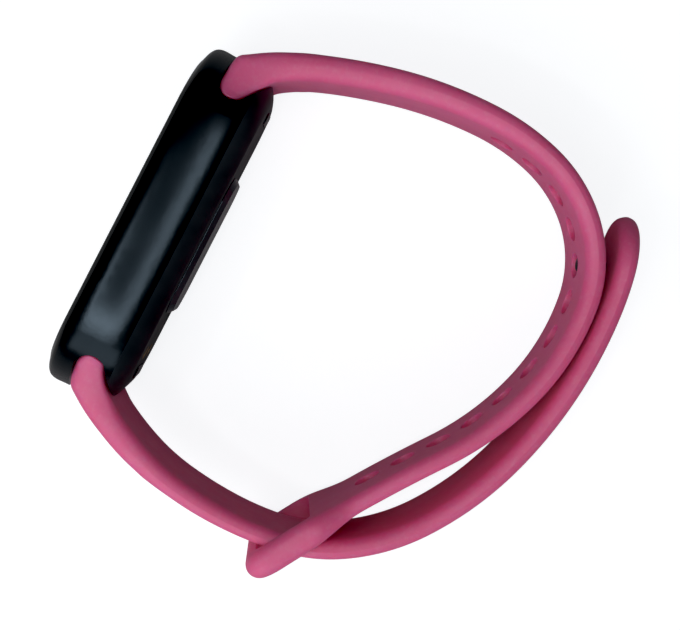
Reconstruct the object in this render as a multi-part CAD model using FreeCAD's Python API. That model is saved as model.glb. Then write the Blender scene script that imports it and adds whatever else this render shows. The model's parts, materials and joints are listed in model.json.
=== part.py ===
"""Fitness tracker band: a slim capsule tracker with a two-piece silicone strap, closed into a ring.

The band lies on its side: +Z runs across the strap's width and Z = 0 is the middle of it. +Y runs
along the case towards the hole strap's lug, and +X points from the case towards the wrist. Shapes
are drawn with the case's rear plane at X = 0, and save() moves them so that the origin is the centre
of the sensor window's skin face.
"""
import FreeCAD, Part
import math
import os

from FreeCAD import Vector

# ---- case, millimetres ----
CASE_LENGTH = 48.5          # along Y
CASE_WIDTH = 22.0           # along Z
CASE_DEPTH = 10.75          # front face to rear plane, along X
PLAN_RADIUS = 8.0           # corner radius of the case seen from the front
GLASS_DEPTH = 0.95          # visible edge of the curved cover glass
REAR_COVER_DEPTH = 2.2      # parting line of the rear cover, measured from the rear plane
END_FRONT_RUN, END_FRONT_DROP = 3.4, 1.6       # elliptic edges: how far in, and over what depth
SIDE_FRONT_RUN, SIDE_FRONT_DROP = 1.2, 1.8
END_REAR_RUN, END_REAR_DROP = 4.8, 3.4
SIDE_REAR_RUN, SIDE_REAR_DROP = 1.8, 3.4
WALL_CROWN = 0.5            # how far the side wall leans in by its front and rear edges
CORNER_SHARE = 0.5          # how much of an edge's inset the corner radius gives up
SKIN_FACE = 0.8             # height of the sensor window over the rear plane

# ---- strap lugs ----
LUG_X = -5.2                # centre of the round lug end
LUG_Y = 20.4
LUG_THICKNESS = 4.0
UPPER_SHOULDER = (-6.88, 24.15)       # where the seat's front wall ends and the hole strap turns away
LOWER_SHOULDER = (-6.88, 23.55)       # the same on the peg strap, mirrored
LUG_SLOPE = 38.0            # direction of the strap's outer face at the shoulder
LUG_END_DEPTH = 1.9         # how far the round end reaches past the lug centre
JAW_ROOT = (-3.55, 19.0)    # the rear jaw's wall, from beside the lug end ...
JAW_TIP = (-1.30, 22.25)    # ... to its pointed tip
LUG_GAP = 0.08              # fit gap between the lug and its notch
LUG_HALF_WIDTH = 8.75
CORE_RADIUS = 0.95          # stiff bar moulded into each lug
CORE_LENGTH = 15.0

# ---- straps: (radius, turn in degrees) of each tangent arc of the centreline ----
HOLE_STRAP_START = (-5.75, 22.6, 40.0)     # x, y and heading of the centreline at the lug
PEG_STRAP_START = (-5.65, -22.15, -45.3)
HOLE_STRAP_ARCS = ((24.2, -16.6), (79.7, -10.1), (57.7, -12.9), (30.9, -16.7),
                   (19.3, -26.7), (17.2, -40.0), (32.9, -24.4), (41.6, -19.3), (220.0, 7.58))
PEG_STRAP_ARCS = ((17.3, 19.1), (42.1, 13.6), (50.9, 13.6), (48.2, 7.1),
                  (21.3, 21.5), (27.8, 24.7), (44.8, 17.9), (59.2, 13.6), (61.5, 9.3), (44.4, 16.2))
STRAP_WIDTH = 16.6
LOOP_WIDTH = 20.6
TAIL_WIDTH = 15.6
LOOP_THICKNESS = 3.6        # at the round nose of the loop
LOOP_RAIL_THICKNESS = 3.85  # beside the slot
TAIL_THICKNESS = 2.8
OUTER_EDGE = 1.2            # rounding of the strap's outer edges
INNER_EDGE = 0.5            # rounding of the edges next to the skin
STATION_STEP = 4.0          # spacing of the strap's cross-sections

# ---- closure ----
HOLE_COUNT = 13
HOLE_START = 37.4           # from the hole strap's start to the first hole, along the centreline
HOLE_PITCH = 5.39
HOLE_ALONG, HOLE_ACROSS = 3.6, 4.2
SLOT_LENGTH = 8.0
SLOT_WIDTH = 16.2
SLOT_CORNER = 1.4
LOOP_BAR = 2.5              # bar past the slot at the strap's end
LOOP_CORNER = 3.0
TIP_CORNER = 7.6
PEG_FROM_TIP = 7.6
HINGE_FROM_PEG = 14.5
HINGE_GAP = 0.04            # split in the strap where the loose tail bends
PEG_DISC_RADIUS, PEG_DISC_DEPTH = 3.2, 0.8
PEG_RADIUS = 1.1
PEG_REACH = 3.2             # how far the peg stands out of the tail's inner face

# ---- inside the case, X measured from the rear plane ----
ADHESIVE_LENGTH, ADHESIVE_WIDTH, ADHESIVE_RADIUS = 41.0, 20.2, 6.8
ADHESIVE_BAND = 1.2
SEAT_FIT = 0.05             # gap all round a part that drops into a seat
CAVITY_LENGTH, CAVITY_WIDTH, CAVITY_RADIUS = 34.4, 18.6, 6.0
DISPLAY_LENGTH, DISPLAY_WIDTH = 36.0, 18.0
DISPLAY_BACK, DISPLAY_FRONT = -8.55, -9.60
BRACKET_BACK, BRACKET_FRONT = -7.95, -8.35
BOARD_BACK, BOARD_FRONT = -3.40, -4.10
BATTERY_SIZE = (3.4, 16.4, 15.6)
BATTERY_CENTRE = (-6.0, 4.6, 0.0)
MOTOR_CENTRE = (-4.15, -10.6, -2.2)   # the motor's seat on the board
MOTOR_RADIUS, MOTOR_HEIGHT = 4.0, 2.7
SCREW_SPOTS = ((14.2, 6.2), (14.2, -6.2), (-14.2, 6.2), (-14.2, -6.2))
SENSOR_LENGTH, SENSOR_WIDTH, SENSOR_RADIUS = 20.0, 14.0, 4.0
CONTACT_SPOTS = ((-16.0, 2.6), (-16.0, -2.6))
BUTTON_Y, BUTTON_LENGTH, BUTTON_WIDTH = 18.9, 1.7, 7.0
BUTTON_TRAVEL = 0.5
BUTTON_PROUD, BUTTON_BACK, DOME_FLOOR = 0.25, -1.35, -1.95
GASKET_SIZE, GASKET_BAND = 0.5, 0.6


# ---------------------------------------------------------------- helpers
def save(name, *shapes):
    """Moves the node to the part's frame and writes its solids."""
    solids = []
    for shape in shapes:
        solids += shape.Solids
    node = Part.makeCompound(solids) if len(solids) > 1 else solids[0]
    node = node.copy()
    node.translate(Vector(-SKIN_FACE, 0, 0))
    for solid in node.Solids:
        if not solid.isValid() or solid.Volume <= 0:
            print("BAD SOLID", name)
    node.exportStep("parts/%s.step" % name)
    print("%-24s %2d solid(s) %10.2f mm3" % (name, len(solids), node.Volume))


def rounded_outline(x, half_length, half_width, radius):
    """Rounded rectangle in the plane at x, long side along Y, as four lines and four arcs."""
    y, z, r = half_length, half_width, radius
    k = r * (1 - math.sqrt(0.5))

    def p(side, end, in_y, in_z):
        return Vector(x, side * (y - in_y), end * (z - in_z))

    edges = []
    for side in (1, -1):
        edges += [Part.makeLine(p(side, -side, 0, r), p(side, side, 0, r)),
                  Part.Arc(p(side, side, 0, r), p(side, side, k, k), p(side, side, r, 0)).toShape(),
                  Part.makeLine(p(side, side, r, 0), p(-side, side, r, 0)),
                  Part.Arc(p(-side, side, r, 0), p(-side, side, k, k), p(-side, side, 0, r)).toShape()]
    return Part.Wire(edges)


def plate(x_low, x_high, length, width, radius, y=0.0, z=0.0):
    """Rounded plate between two X planes."""
    outline = rounded_outline(x_low, length / 2, width / 2, radius)
    solid = Part.Face(outline).extrude(Vector(x_high - x_low, 0, 0))
    solid.translate(Vector(0, y, z))
    return solid


def block(centre, size):
    """Box given by its centre and its sizes along X, Y and Z."""
    corner = Vector(*[c - s / 2 for c, s in zip(centre, size)])
    return Part.makeBox(size[0], size[1], size[2], corner)


def slab(x_low, x_high):
    """Everything between two X planes, wider than the case."""
    return Part.makeBox(x_high - x_low, 80, 60, Vector(x_low, -40, -30))


def pin(start, direction, radius, length):
    return Part.makeCylinder(radius, length, Vector(*start), Vector(*direction))


def extrude_profile(edges, half_width):
    """Closed outline in the XY plane, thickened to both sides of Z = 0."""
    face = Part.Face(Part.Wire(edges))
    face.translate(Vector(0, 0, -half_width))
    return face.extrude(Vector(0, 0, 2 * half_width))


def edges_at(shape, x):
    """The edges that lie in one X plane."""
    return [e for e in shape.Edges if abs(e.BoundBox.XMin - x) < 1e-4 and abs(e.BoundBox.XMax - x) < 1e-4]


def flip(shape):
    """Mirror image across the middle of the case, so upper becomes lower."""
    return shape.mirror(Vector(0, 0, 0), Vector(0, 1, 0))


# ---------------------------------------------------------------- case
def edge_inset(depth, run, drop):
    """How far an elliptic edge has pulled in, at a depth below its face."""
    if depth >= drop:
        return 0.0
    return run * (1 - math.sqrt(max(0.0, 1 - (1 - depth / drop) ** 2)))


def envelope(shrink=0.0):
    """The whole outside of the case, as one smooth loft from the glass to the rear plane."""
    angles = [90, 68, 46, 24, 0]
    levels = [-CASE_DEPTH + END_FRONT_DROP * (1 - math.sin(math.radians(a))) for a in angles]
    levels += [-7.5, -5.6, -4.0]
    levels += [-END_REAR_DROP * (1 - math.sin(math.radians(a))) for a in reversed(angles)]
    middle = -CASE_DEPTH / 2
    wires = []
    for x in levels:
        front, rear = x + CASE_DEPTH, -x
        ends = edge_inset(front, END_FRONT_RUN, END_FRONT_DROP)
        ends += edge_inset(rear, END_REAR_RUN, END_REAR_DROP)
        sides = edge_inset(front, SIDE_FRONT_RUN, SIDE_FRONT_DROP)
        sides += edge_inset(rear, SIDE_REAR_RUN, SIDE_REAR_DROP)
        sides += WALL_CROWN * ((x - middle) / middle) ** 2
        radius = PLAN_RADIUS - CORNER_SHARE * (ends + sides)
        wires.append(rounded_outline(x, CASE_LENGTH / 2 - ends - shrink, CASE_WIDTH / 2 - sides - shrink,
                                     radius - shrink))
    return Part.makeLoft(wires, True, False)


def notch_edges(grow, mouth_open, wall_end=UPPER_SHOULDER):
    """Outline of the upper lug seat, or of the lug itself when grow is negative."""
    front_low = Vector(LUG_X - LUG_THICKNESS / 2 - grow, LUG_Y, 0)
    shoulder = Vector(wall_end[0] - grow, wall_end[1], 0)
    slope = math.atan2(JAW_TIP[1] - JAW_ROOT[1], JAW_TIP[0] - JAW_ROOT[0])
    shift = Vector(math.sin(slope) * grow, -math.cos(slope) * grow, 0)
    root = Vector(JAW_ROOT[0], JAW_ROOT[1], 0) + shift
    tip = Vector(JAW_TIP[0], JAW_TIP[1], 0) + shift
    bottom = Vector(LUG_X, LUG_Y - LUG_END_DEPTH - grow, 0)
    edges = [Part.Arc(front_low, bottom, root).toShape()]
    if mouth_open:
        along = Vector(math.cos(slope), math.sin(slope), 0)
        corners = [root, tip + along * 8, Vector(shoulder.x, 32, 0), shoulder, front_low]
    else:
        slope = math.radians(LUG_SLOPE)
        shoulder += Vector(0, -0.15, 0)
        outside = shoulder + Vector(math.cos(slope), math.sin(slope), 0) * 2.0
        corners = [root, tip, Vector(-2.2, 23.6, 0), outside, shoulder, front_low]
    return edges + [Part.makeLine(a, b) for a, b in zip(corners, corners[1:])]


def notches():
    upper = extrude_profile(notch_edges(0.0, True), 15)
    return upper.fuse(flip(upper))


def lug(wall_end):
    """Strap end that fills the notch: flush with the case wall, then as wide as the strap."""
    body = extrude_profile(notch_edges(-LUG_GAP, False, wall_end), CASE_WIDTH / 2)
    middle = block((0, 24, 0), (40, 20, 2 * LUG_HALF_WIDTH))
    return body.common(envelope(0.1).fuse(middle))


def case_front_parts(shell):
    glass = shell.common(slab(-CASE_DEPTH - 1, -CASE_DEPTH + GLASS_DEPTH))
    save("cover_glass", glass)
    glass_back = -CASE_DEPTH + GLASS_DEPTH
    outer = plate(glass_back, DISPLAY_FRONT, ADHESIVE_LENGTH, ADHESIVE_WIDTH, ADHESIVE_RADIUS)
    inner = plate(glass_back, DISPLAY_FRONT, ADHESIVE_LENGTH - 2 * ADHESIVE_BAND,
                  ADHESIVE_WIDTH - 1.2 * ADHESIVE_BAND, ADHESIVE_RADIUS - ADHESIVE_BAND / 2)
    save("glass_adhesive", outer.cut(inner))
    panel = plate(DISPLAY_FRONT, DISPLAY_BACK, DISPLAY_LENGTH, DISPLAY_WIDTH, 4.5)
    save("display_panel", panel)
    ribbon = block((-8.45, -15.4, 0), (0.16, 2.6, 6.0))
    drop = block((-6.30, -16.62, 0), (4.14, 0.16, 6.0))
    save("display_flex", ribbon.fuse(drop))


def button_pocket(clearance):
    return plate(DOME_FLOOR, 3.0, BUTTON_LENGTH + 2 * clearance, BUTTON_WIDTH + 2 * clearance,
                 0.8 + clearance, y=BUTTON_Y)


def case_shells(shell, seats):
    frame_top = -CASE_DEPTH + GLASS_DEPTH
    frame = shell.common(slab(frame_top, -REAR_COVER_DEPTH)).cut(seats)
    frame = frame.cut(plate(frame_top - 1, DISPLAY_FRONT, ADHESIVE_LENGTH + 2 * SEAT_FIT,
                            ADHESIVE_WIDTH + 2 * SEAT_FIT, ADHESIVE_RADIUS + SEAT_FIT))
    frame = frame.cut(plate(frame_top - 1, BRACKET_FRONT - 0.02, 38.2, 18.8, 6.0))
    frame = frame.cut(plate(-9.0, 0.0, CAVITY_LENGTH, CAVITY_WIDTH, CAVITY_RADIUS))
    ring = gasket_ring()
    frame = frame.cut(ring)
    save("case_frame", frame)
    save("rear_gasket", ring)

    cover = shell.common(slab(-REAR_COVER_DEPTH, 1)).cut(seats)
    cover = cover.cut(plate(-REAR_COVER_DEPTH - 1, -1.1, CAVITY_LENGTH, CAVITY_WIDTH, CAVITY_RADIUS))
    cover = cover.cut(plate(-3, 1, SENSOR_LENGTH - 2.4, SENSOR_WIDTH - 2.4, SENSOR_RADIUS - 1.2))
    for y, z in CONTACT_SPOTS:
        cover = cover.cut(pin((-2, y, z), (1, 0, 0), 1.0, 3))
    pocket = button_pocket(0.08)
    cover = cover.cut(pocket).cut(flip(pocket))
    save("rear_cover", cover)


def gasket_ring():
    low, high = -REAR_COVER_DEPTH - GASKET_SIZE, -REAR_COVER_DEPTH
    outer = plate(low, high, CAVITY_LENGTH + 2 * GASKET_BAND, CAVITY_WIDTH + 2 * GASKET_BAND,
                  CAVITY_RADIUS + GASKET_BAND)
    return outer.cut(plate(low, high, CAVITY_LENGTH, CAVITY_WIDTH, CAVITY_RADIUS))


def release_buttons():
    button = plate(BUTTON_BACK, BUTTON_PROUD, BUTTON_LENGTH, BUTTON_WIDTH, 0.8, y=BUTTON_Y)
    button = button.makeFillet(0.22, edges_at(button, BUTTON_PROUD))
    pad_top = BUTTON_BACK - BUTTON_TRAVEL - 0.02
    pad = plate(DOME_FLOOR, pad_top, BUTTON_LENGTH - 0.3, BUTTON_WIDTH - 2.0, 0.5, y=BUTTON_Y)
    save("upper_release_button", button)
    save("lower_release_button", flip(button))
    save("upper_button_dome", pad)
    save("lower_button_dome", flip(pad))


# ---------------------------------------------------------------- sensor, board and battery
def sensor_parts():
    flange = plate(0.0, SKIN_FACE, SENSOR_LENGTH, SENSOR_WIDTH, SENSOR_RADIUS)
    flange = flange.makeChamfer(0.65, edges_at(flange, SKIN_FACE))
    plug = plate(-1.0, 0.0, SENSOR_LENGTH - 2.5, SENSOR_WIDTH - 2.5, SENSOR_RADIUS - 1.25)
    save("sensor_window", flange.fuse(plug).removeSplitter())

    board = plate(-2.05, -1.60, 15.6, 10.4, 1.5)
    save("sensor_board", board)
    emitters = [block((-1.42, y, 0), (0.36, 1.5, 1.5)) for y in (-0.95, 0.95)]
    save("sensor_leds", *emitters)
    detectors = [block((-1.42, y, 0), (0.36, 2.6, 3.6)) for y in (-5.2, 5.2)]
    save("photodiodes", *detectors)
    baffle = plate(-1.60, -1.05, 15.4, 10.2, 1.4).cut(block((-1.4, 0, 0), (1.2, 4.4, 4.4)))
    for y in (-5.2, 5.2):
        baffle = baffle.cut(block((-1.4, y, 0), (1.2, 3.4, 5.0)))
    save("light_baffle", baffle)

    contacts = []
    for y, z in CONTACT_SPOTS:
        head = pin((-1.1, y, z), (1, 0, 0), 0.95, 1.15)
        foot = pin((-1.45, y, z), (1, 0, 0), 1.2, 0.35)
        contacts.append(head.fuse(foot))
    save("charge_contacts", *contacts)


def board_parts():
    board = plate(BOARD_FRONT, BOARD_BACK, CAVITY_LENGTH - 0.8, CAVITY_WIDTH - 1.2, 5.4)
    for y, z in SCREW_SPOTS:
        board = board.cut(pin((-6, y, z), (1, 0, 0), 0.65, 6))
    save("main_board", board)

    can_outer = plate(-3.38, -2.35, 11.0, 11.0, 0.8, y=-1.0)
    can = can_outer.cut(plate(-3.39, -2.50, 10.7, 10.7, 0.65, y=-1.0))
    save("shield_can", can)
    chips = [block((-3.0, -2.6, -1.4), (0.74, 5.2, 5.2)),
             block((-3.08, 2.0, 2.2), (0.6, 2.5, 3.0)),
             block((-3.0, 9.6, 0.0), (0.76, 4.0, 5.0)),
             block((-3.1, 10.4, 5.0), (0.56, 2.0, 2.2)),
             block((-3.0, -11.4, 3.0), (0.76, 3.2, 2.5))]
    save("board_chips", *chips)

    battery = block(BATTERY_CENTRE, BATTERY_SIZE)
    long_edges = [e for e in battery.Edges if e.Length > BATTERY_SIZE[1] - 0.1]
    save("battery", battery.makeFillet(0.9, long_edges))
    lead_y = BATTERY_CENTRE[1] - BATTERY_SIZE[1] / 2 - 0.1
    lead = block((-5.62, lead_y, 4.0), (3.02, 0.16, 4.0))
    save("battery_lead", lead)

    bracket = plate(BRACKET_FRONT, BRACKET_BACK, CAVITY_LENGTH - 0.2, CAVITY_WIDTH - 0.2, 5.9)
    bracket = bracket.cut(block((-8.1, -16.0, 0), (2, 1.6, 7.0)))
    screws = []
    for y, z in SCREW_SPOTS:
        post = pin((BRACKET_BACK - 0.1, y, z), (1, 0, 0), 1.15, BOARD_FRONT - BRACKET_BACK + 0.1)
        bracket = bracket.fuse(post).cut(pin((-6.6, y, z), (1, 0, 0), 0.52, 4))
        head = pin((BOARD_BACK, y, z), (1, 0, 0), 1.05, 0.5)
        slot_a = block((BOARD_BACK + 0.45, y, z), (0.3, 1.3, 0.25))
        slot_b = block((BOARD_BACK + 0.45, y, z), (0.3, 0.25, 1.3))
        shank = pin((-6.4, y, z), (1, 0, 0), 0.5, BOARD_BACK + 6.4)
        screws.append(head.fuse(shank).cut(slot_a).cut(slot_b))
    save("inner_bracket", bracket)
    save("board_screws", *screws)

    strip = block((-6.1, 0.0, 8.95), (2.6, 17.0, 0.2))
    foot = block((-4.35, 7.6, 8.95), (1.0, 1.6, 0.2))
    save("antenna", strip.fuse(foot))


def motor_parts():
    x, y, z = MOTOR_CENTRE
    base = pin((x - 0.3, y, z), (1, 0, 0), MOTOR_RADIUS, 0.3)
    save("motor_base", base)
    height = MOTOR_HEIGHT - 0.3
    lid = pin((x - 0.3 - height, y, z), (1, 0, 0), MOTOR_RADIUS, height)
    lid = lid.cut(pin((x - 0.3 - height + 0.25, y, z), (1, 0, 0), MOTOR_RADIUS - 0.25, height))
    save("motor_lid", lid)
    shaft = pin((x - MOTOR_HEIGHT + 0.25, y, z), (1, 0, 0), 0.4, MOTOR_HEIGHT - 0.55)
    save("motor_shaft", shaft)
    disc = pin((x - 1.85, y, z), (1, 0, 0), 3.3, 1.1)
    hub = pin((x - 2.05, y, z), (1, 0, 0), 1.0, 1.5)
    half = Part.makeBox(3, 8, 4, Vector(x - 3, y - 4, z - 4))
    rotor = disc.common(half).fuse(hub).cut(pin((x - 4, y, z), (1, 0, 0), 0.45, 5))
    save("motor_rotor", rotor)


# ---------------------------------------------------------------- straps
class Path:
    """Centreline of tangent arcs in the XY plane, measured by arc length."""

    def __init__(self, x, y, heading, arcs):
        self.legs = []
        self.length = 0.0
        for radius, turn in arcs:
            span = radius * math.radians(abs(turn))
            self.legs.append((self.length, x, y, heading, radius, turn, span))
            side = 1 if turn > 0 else -1
            normal = math.radians(heading + 90 * side)
            cx, cy = x + radius * math.cos(normal), y + radius * math.sin(normal)
            heading += turn
            normal = math.radians(heading + 90 * side)
            x, y = cx - radius * math.cos(normal), cy - radius * math.sin(normal)
            self.length += span
        self.legs.append((self.length, x, y, heading, None, 0.0, 0.0))

    def at(self, s):
        """Point and heading at arc length s; straight on past either end."""
        leg = self.legs[0]
        for candidate in self.legs:
            if candidate[0] <= s:
                leg = candidate
        start, x, y, heading, radius, turn, span = leg
        if radius is None or s < 0:
            a = math.radians(heading)
            return Vector(x + (s - start) * math.cos(a), y + (s - start) * math.sin(a), 0), heading
        side = 1 if turn > 0 else -1
        normal = math.radians(heading + 90 * side)
        cx, cy = x + radius * math.cos(normal), y + radius * math.sin(normal)
        now = heading + side * math.degrees((s - start) / radius)
        normal = math.radians(now + 90 * side)
        return Vector(cx - radius * math.cos(normal), cy - radius * math.sin(normal), 0), now

    def outward(self, s, side):
        """Unit normal that points away from the wrist."""
        _, heading = self.at(s)
        a = math.radians(heading + 90 * side)
        return Vector(math.cos(a), math.sin(a), 0)


def between(s, table):
    """Smooth value along the strap, from a short list of (place, value)."""
    if s <= table[0][0]:
        return table[0][1]
    for (s0, v0), (s1, v1) in zip(table, table[1:]):
        if s <= s1:
            u = (s - s0) / (s1 - s0)
            return v0 + (v1 - v0) * u * u * (3 - 2 * u)
    return table[-1][1]


def section(point, outward, thickness, width):
    """Strap cross-section: flat towards the skin, softly rounded outside."""
    across = Vector(0, 0, 1)
    h, w = thickness / 2, width / 2
    ro, ri = OUTER_EDGE, INNER_EDGE
    k = 1 - math.sqrt(0.5)

    def p(n, z):
        return point + outward * n + across * z

    edges = [Part.makeLine(p(-h, -(w - ri)), p(-h, w - ri)),
             Part.Arc(p(-h, w - ri), p(-h + ri * k, w - ri * k), p(-h + ri, w)).toShape(),
             Part.makeLine(p(-h + ri, w), p(h - ro, w)),
             Part.Arc(p(h - ro, w), p(h - ro * k, w - ro * k), p(h, w - ro)).toShape(),
             Part.makeLine(p(h, w - ro), p(h, -(w - ro))),
             Part.Arc(p(h, -(w - ro)), p(h - ro * k, -(w - ro * k)), p(h - ro, -w)).toShape(),
             Part.makeLine(p(h - ro, -w), p(-h + ri, -w)),
             Part.Arc(p(-h + ri, -w), p(-h + ri * k, -(w - ri * k)), p(-h, -(w - ri))).toShape()]
    return Part.Wire(edges)


def strap(path, side, start, end, thickness, width):
    """Loft of cross-sections between two places on the path."""
    count = max(2, int(round((end - start) / STATION_STEP)))
    wires = []
    for i in range(count + 1):
        s = start + (end - start) * i / count
        point, _ = path.at(s)
        wires.append(section(point, path.outward(s, side), between(s, thickness), between(s, width)))
    return Part.makeLoft(wires, True, False)


def local_prism(path, side, s, length, width, corner, height):
    """Rounded window through the strap, centred at s and cut square to it."""
    point, heading = path.at(s)
    tool = plate(-height / 2, height / 2, length, width, corner)
    out = path.outward(s, side)
    turn = math.degrees(math.atan2(out.y, out.x))
    tool.rotate(Vector(0, 0, 0), Vector(0, 0, 1), turn)
    tool.translate(point)
    return tool


def corner_cutters(path, side, tip, width, radius):
    """What to remove to round the two corners of a strap's end, seen face on."""
    point, _ = path.at(tip)
    out = path.outward(tip, side)
    along = Vector(-out.y, out.x, 0) * (-side)
    reach = radius + 3
    cutters = []
    for sign in (1, -1):
        centre = point - along * radius + Vector(0, 0, sign * (width / 2 - radius))
        column = Part.makeCylinder(radius, 16, centre - out * 8, out)
        a, b = along * reach, Vector(0, 0, sign * reach)
        base = centre - out * 8
        face = Part.Face(Part.makePolygon([base, base + a, base + a + b, base + b, base]))
        cutters.append(face.extrude(out * 16).cut(column))
    return cutters


def hole(path, side, s):
    """Oval peg hole square to the strap."""
    point, _ = path.at(s)
    out = path.outward(s, side)
    along = Vector(-out.y, out.x, 0)
    oval = Part.Ellipse(point + Vector(0, 0, HOLE_ACROSS / 2), point + along * (HOLE_ALONG / 2), point)
    face = Part.Face(Part.Wire(oval.toShape()))
    face.translate(out * -6)
    return face.extrude(out * 12)


def lug_core(sign):
    return pin((LUG_X, sign * LUG_Y, -CORE_LENGTH / 2), (0, 0, 1), CORE_RADIUS, CORE_LENGTH)


def hole_strap_parts():
    path = Path(*HOLE_STRAP_START, HOLE_STRAP_ARCS)
    tip = path.length
    loop_start = tip - LOOP_BAR - SLOT_LENGTH
    thickness = ((0, LUG_THICKNESS - 0.1), (10, 3.65), (58, 2.85), (94, 2.5), (loop_start - 6, 2.5),
                 (loop_start + 2.5, LOOP_RAIL_THICKNESS), (tip - 4, LOOP_RAIL_THICKNESS),
                 (tip, LOOP_THICKNESS))
    width = ((0, 2 * LUG_HALF_WIDTH), (16, STRAP_WIDTH), (loop_start - 6, STRAP_WIDTH),
             (loop_start + 0.5, LOOP_WIDTH), (tip, LOOP_WIDTH))
    round_end = LOOP_THICKNESS / 2
    body = strap(path, 1, 0.0, tip - round_end, thickness, width)
    end_point, _ = path.at(tip - round_end)
    nose = pin((end_point.x, end_point.y, -LOOP_WIDTH / 2), (0, 0, 1), round_end, LOOP_WIDTH)
    body = body.fuse(nose)
    for cutter in corner_cutters(path, 1, tip, LOOP_WIDTH, LOOP_CORNER):
        body = body.cut(cutter)
    body = body.cut(envelope(-LUG_GAP)).fuse(lug(UPPER_SHOULDER))
    slot_middle = loop_start + SLOT_LENGTH / 2
    body = body.cut(local_prism(path, 1, slot_middle, SLOT_LENGTH, SLOT_WIDTH, SLOT_CORNER, 12))
    for i in range(HOLE_COUNT):
        body = body.cut(hole(path, 1, HOLE_START + i * HOLE_PITCH))
    body = body.cut(lug_core(1))
    save("hole_strap", body)
    save("upper_lug_core", lug_core(1))


def peg_strap_parts():
    path = Path(*PEG_STRAP_START, PEG_STRAP_ARCS)
    tip = path.length
    peg_at = tip - PEG_FROM_TIP
    hinge_at = peg_at - HINGE_FROM_PEG
    thickness = ((0, LUG_THICKNESS - 0.1), (7, 3.45), (20, 2.85), (34, 2.55), (44, 2.75),
                 (tip, TAIL_THICKNESS))
    width = ((0, 2 * LUG_HALF_WIDTH), (14, STRAP_WIDTH), (34, TAIL_WIDTH), (tip, TAIL_WIDTH))
    base = strap(path, -1, 0.0, hinge_at - HINGE_GAP / 2, thickness, width)
    base = base.cut(envelope(-LUG_GAP)).fuse(flip(lug(LOWER_SHOULDER))).cut(lug_core(-1))
    save("peg_strap_base", base)
    save("lower_lug_core", lug_core(-1))

    tail = strap(path, -1, hinge_at + HINGE_GAP / 2, tip, thickness, width)
    for cutter in corner_cutters(path, -1, tip, TAIL_WIDTH, TIP_CORNER):
        tail = tail.cut(cutter)
    point, _ = path.at(peg_at)
    out = path.outward(peg_at, -1)
    skin = point + out * (between(peg_at, thickness) / 2)
    disc_seat = skin - out * PEG_DISC_DEPTH
    stem = between(peg_at, thickness) - PEG_DISC_DEPTH + PEG_REACH
    disc = Part.makeCylinder(PEG_DISC_RADIUS, PEG_DISC_DEPTH, disc_seat, out)
    shank = Part.makeCylinder(PEG_RADIUS, stem, disc_seat, out * -1)
    tip_edges = [e for e in shank.Edges if (e.CenterOfMass - disc_seat).Length > stem - 0.1]
    peg = disc.fuse(shank.makeFillet(0.7, tip_edges))
    save("peg_strap_tail", tail.cut(disc).cut(shank))
    save("closure_peg", peg)
    middle, _ = path.at(hinge_at)
    axis = middle + path.outward(hinge_at, -1) * (between(hinge_at, thickness) / 2)
    print("tail hinge, on the outer face, at X %.4f Y %.4f" % (axis.x - SKIN_FACE, axis.y))


def main():
    os.makedirs("parts", exist_ok=True)
    shell = envelope()
    seats = notches()
    case_front_parts(shell)
    case_shells(shell, seats)
    release_buttons()
    sensor_parts()
    board_parts()
    motor_parts()
    hole_strap_parts()
    peg_strap_parts()


main()
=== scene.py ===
import json
import math

import bmesh
import bpy
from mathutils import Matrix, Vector


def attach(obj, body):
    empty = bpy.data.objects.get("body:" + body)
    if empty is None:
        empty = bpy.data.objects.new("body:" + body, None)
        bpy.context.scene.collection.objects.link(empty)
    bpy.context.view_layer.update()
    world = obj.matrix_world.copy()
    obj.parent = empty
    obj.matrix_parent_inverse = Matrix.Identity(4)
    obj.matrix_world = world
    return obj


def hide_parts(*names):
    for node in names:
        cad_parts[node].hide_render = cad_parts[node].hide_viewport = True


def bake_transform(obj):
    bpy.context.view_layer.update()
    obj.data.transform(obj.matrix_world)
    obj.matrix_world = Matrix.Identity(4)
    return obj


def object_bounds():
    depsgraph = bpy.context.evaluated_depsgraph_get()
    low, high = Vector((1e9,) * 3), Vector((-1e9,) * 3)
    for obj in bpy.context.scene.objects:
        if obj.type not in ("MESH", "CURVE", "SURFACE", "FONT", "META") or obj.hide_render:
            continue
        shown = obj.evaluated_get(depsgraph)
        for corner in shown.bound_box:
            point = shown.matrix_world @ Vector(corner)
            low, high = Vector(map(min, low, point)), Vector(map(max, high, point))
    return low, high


# The looks of the fitness tracker band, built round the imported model.
# The band lies on its side: +Z runs across the strap's width, +X points into the wrist opening and
# +Y along the case. Shapes are worked out in millimetres and become metres in finished().

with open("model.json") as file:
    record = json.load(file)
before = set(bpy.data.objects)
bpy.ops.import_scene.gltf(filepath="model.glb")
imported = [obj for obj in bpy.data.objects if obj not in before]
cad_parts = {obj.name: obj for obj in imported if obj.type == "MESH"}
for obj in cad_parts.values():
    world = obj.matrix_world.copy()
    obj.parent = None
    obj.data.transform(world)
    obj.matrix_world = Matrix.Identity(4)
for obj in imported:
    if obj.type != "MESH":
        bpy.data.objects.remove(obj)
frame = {"nodes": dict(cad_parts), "record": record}
cad_low, cad_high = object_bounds()

MM = 0.001
SKIN_FACE = 0.8             # the origin is this far from the case's rear plane, towards the wrist

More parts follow.
